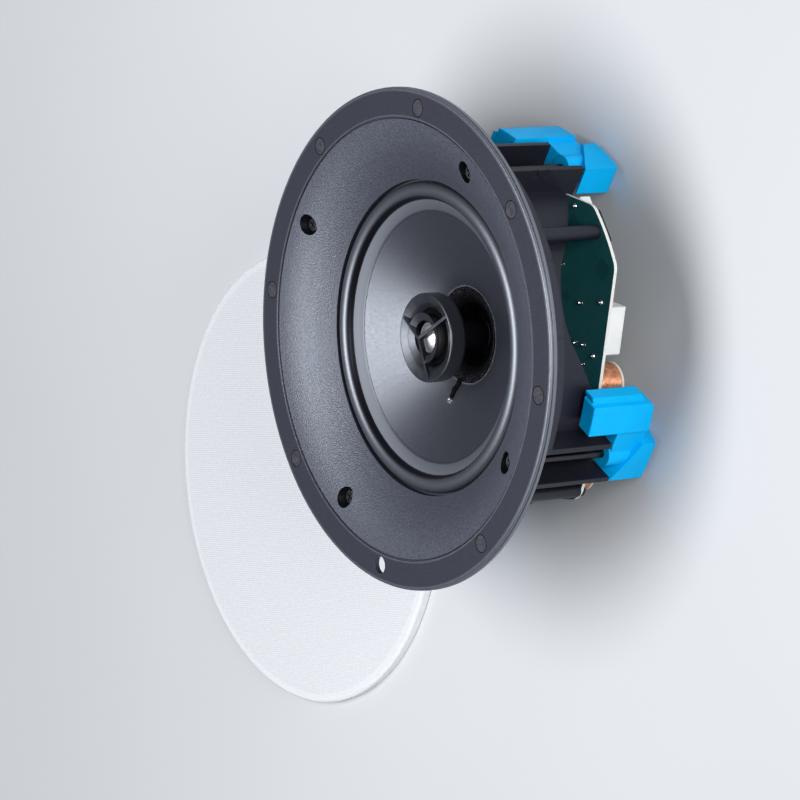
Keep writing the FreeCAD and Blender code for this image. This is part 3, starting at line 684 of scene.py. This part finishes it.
def magnet_seats():
    """Dark seam round each magnet disc in the flange."""
    profile = [(3.85, -0.05), (4.25, -0.05), (4.25, 0.005), (4.05, 0.01), (3.85, 0.005)]
    bm = bmesh.new()
    for angle in MAGNET_ANGLES:
        lathe(bm, profile, 48, Matrix.Translation((*polar(MAGNET_RING_R * MM, angle), 0)))
    piece("magnet_seats", bm, "frame_plastic", "speaker", finish="former")


def grip_ridges():
    """Fine ridges across each clamp pad's front face."""
    near, far, inner, outer, pitch = 15.85, 29.35, 92.05, 100.15, 0.75
    bottom, valley, crest = -39.8, -38.97, -38.6
    steps = 2 * round((far - near) / pitch)
    for number, angle in enumerate(CLAMP_ANGLES, 1):
        turn = turned(angle)
        bm = bmesh.new()
        rings = []
        for i in range(steps + 1):
            t = near + (far - near) * i / steps
            top = crest if i % 2 else valley
            x_in, x_out = math.sqrt(inner ** 2 - t ** 2), math.sqrt(outer ** 2 - t ** 2)
            corners = ((x_in, bottom), (x_in, top), (x_out, top), (x_out, bottom))
            rings.append([bm.verts.new(turn @ metres(x, t, n)) for x, n in corners])
        piece(f"clamp_{number}_grip", skin(bm, rings, closed=False), "clamp_plastic", f"clamp_{number}", 20)


def component_leads():
    """Bent wire ends of the two film capacitors."""
    wire_r, clearance = 0.4, 0.1
    bm = bmesh.new()
    for angle, outward, radius, length in CAPACITORS:
        turn = turned(angle)
        axis, end = BOARD_REAR - radius - clearance, length / 2
        route = [(end - 0.5, axis), (end + 1.6, axis), (end + 2.4, axis + 0.8), (end + 2.6, BOARD_REAR + 0.4)]
        for side in (-1, 1):
            path = [turn @ metres(outward, side * along, n) for along, n in route]
            tube(bm, path, [wire_r] * len(path))
    piece("capacitor_leads", bm, "tinned", "speaker")


def make_floor():
    """Pale floor, in metres, that keeps the shadow near the object and fades to one even tone further out."""
    half, gap, fade_from, fade_to = 6.0, 0.2 * MM, 0.35, 1.1
    low, high = cad_box
    x, y, z = (low[0] + high[0]) / 2, (low[1] + high[1]) / 2, low[2] - gap
    corners = [(x + a * half, y + b * half, z) for a, b in ((-1, -1), (1, -1), (1, 1), (-1, 1))]
    mesh = bpy.data.meshes.new("floor")
    mesh.from_pydata(corners, [], [(0, 1, 2, 3)])
    floor = bpy.data.objects.new("floor", mesh)
    scene.collection.objects.link(floor)

    n = Nodes("floor")
    n.done(n.ramp(n.noise(3.0), (0.3, (0.66, 0.67, 0.68)), (0.7, (0.69, 0.70, 0.71))), 0.9)
    rays = n.add("ShaderNodeLightPath").outputs
    clear = n.math("ADD", rays["Is Glossy Ray"], rays["Is Transmission Ray"])
    seen = n.math("MINIMUM", n.math("ADD", rays["Is Camera Ray"], clear), 1.0)
    far = n.rises(n.radius((x, y)), fade_from, fade_to)
    glow = n.add("ShaderNodeEmission", Color=(0.70, 0.72, 0.75, 1.0))
    both = n.add("ShaderNodeMixShader", Fac=n.product(far, seen))
    n.put(both.inputs[1], n.shader.outputs["BSDF"])
    n.put(both.inputs[2], glow.outputs["Emission"])
    n.put(n.tree.nodes["Material Output"].inputs["Surface"], both.outputs["Shader"])
    mesh.materials.append(n.material)


def area_light(name, at, target, width, length, power, colour=(1.0, 1.0, 1.0)):
    """Oval light, in metres and watts, turned to its target."""
    data = bpy.data.lights.new(name, "AREA")
    data.shape = "ELLIPSE"
    data.size = width
    data.size_y = length
    data.energy = power
    data.color = colour
    light = bpy.data.objects.new(name, data)
    light.location = at
    light.rotation_euler = (Vector(target) - Vector(at)).to_track_quat("-Z", "Y").to_euler()
    scene.collection.objects.link(light)


def make_world(colour, level):
    world = bpy.data.worlds.new("studio")
    world.use_nodes = True
    background = world.node_tree.nodes["Background"]
    background.inputs["Color"].default_value = (*colour, 1.0)
    background.inputs["Strength"].default_value = level
    scene.world = world


def make_camera():
    """Long lens from the photograph's side, turned so that the frame's X axis lies level in the picture."""
    data = bpy.data.cameras.new("camera")
    data.sensor_width = CAMERA_SENSOR
    data.lens = CAMERA_LENS
    data.clip_start = 0.05
    camera = bpy.data.objects.new("camera", data)
    reach, rise = polar(1.0, CAMERA_ELEVATION)
    back = Vector((*polar(reach, CAMERA_AZIMUTH), rise))
    right = (Vector((1, 0, 0)) - back * back.x).normalized()
    place = metres(*CAMERA_TARGET) + back * CAMERA_DISTANCE * MM
    camera.matrix_world = Matrix((*zip(right, back.cross(right), back, place), (0.0, 0.0, 0.0, 1.0)))
    scene.collection.objects.link(camera)
    scene.camera = camera


make_surround()
make_spider()
winding("inductor_1_winding", "inductor_1_coil", turns=18, inner=4.8)
winding("inductor_2_winding", "inductor_2_coil", turns=12, inner=4.3)
solder_joints()
lead_glue()
felt_fibres()
mould_marks()
seam_lines()
magnet_seats()
grip_ridges()
component_leads()

make_floor()
make_world(colour=(0.84, 0.87, 1.0), level=0.17)
area_light("key", at=(-0.05, 0.0, 1.25), target=(-0.05, 0.0, -0.03), width=0.6, length=1.4, power=18.0,
           colour=(0.95, 0.97, 1.0))
area_light("fill", at=(1.5, 0.1, 0.4), target=(0.0, 0.0, -0.04), width=0.9, length=0.9, power=18.0)
make_camera()
